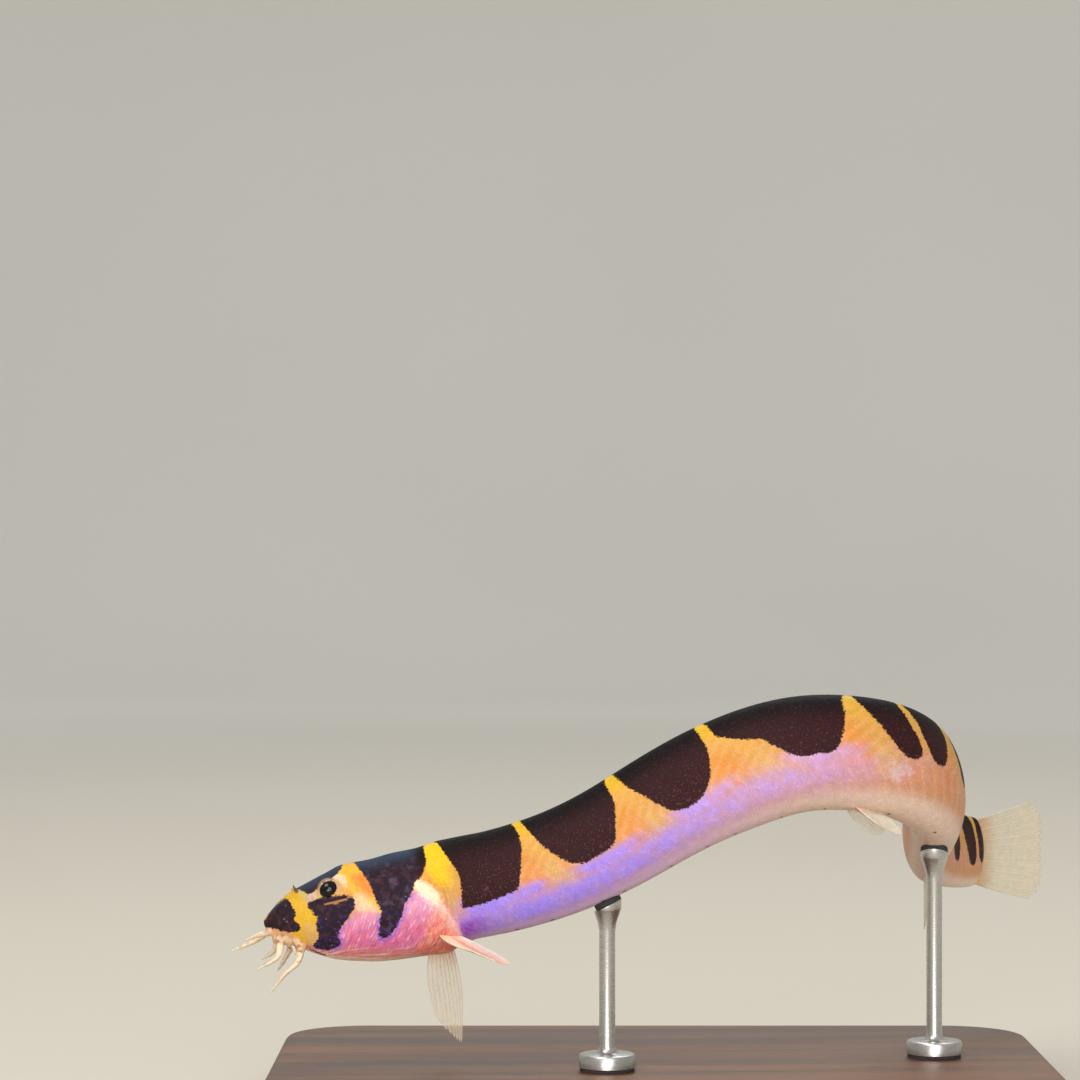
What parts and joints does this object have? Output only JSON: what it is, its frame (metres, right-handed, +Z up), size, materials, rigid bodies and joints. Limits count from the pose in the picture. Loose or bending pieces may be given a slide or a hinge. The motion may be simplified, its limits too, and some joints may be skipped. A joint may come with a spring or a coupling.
{
  "type": "kuhli loach display model",
  "caption": "Life-size still model of a banded eel-like loach swimming round a bend, head lowered, on a small flat base with short rods.",
  "frame": {"origin": "middle of the underside of the stand's base", "axes": "+Z up out of the base; +X along the base's long side, with the fish's snout towards -X; +Y away from the side that the picture shows, where the tail turns"},
  "size_m": [0.0709, 0.0525, 0.0343],
  "materials": {
    "skin": "satin, banded dark brown over orange and violet",
    "eye": "glossy black",
    "barbel": "satin, translucent cream",
    "fin": "satin, translucent cream",
    "stand_wood": "oiled walnut",
    "stand_steel": "brushed"
  },
  "bodies": {
    "root": {"head": "skin", "trunk_front": "skin", "trunk_middle": "skin", "trunk_rear": "skin", "tail_stalk": "skin", "eye_left": "eye", "eye_right": "eye", "barbel_rostral_left": "barbel", "barbel_rostral_right": "barbel", "barbel_maxillary_left": "barbel", "barbel_maxillary_right": "barbel", "barbel_mandibular_left": "barbel", "barbel_mandibular_right": "barbel", "pectoral_fin_left": "fin", "pectoral_fin_right": "fin", "pelvic_fin_left": "fin", "pelvic_fin_right": "fin", "dorsal_fin": "fin", "anal_fin": "fin", "caudal_fin": "fin", "stand_base": "stand_wood", "stand_rod_front": "stand_steel", "stand_rod_rear": "stand_steel"}
  },
  "joints": []
}
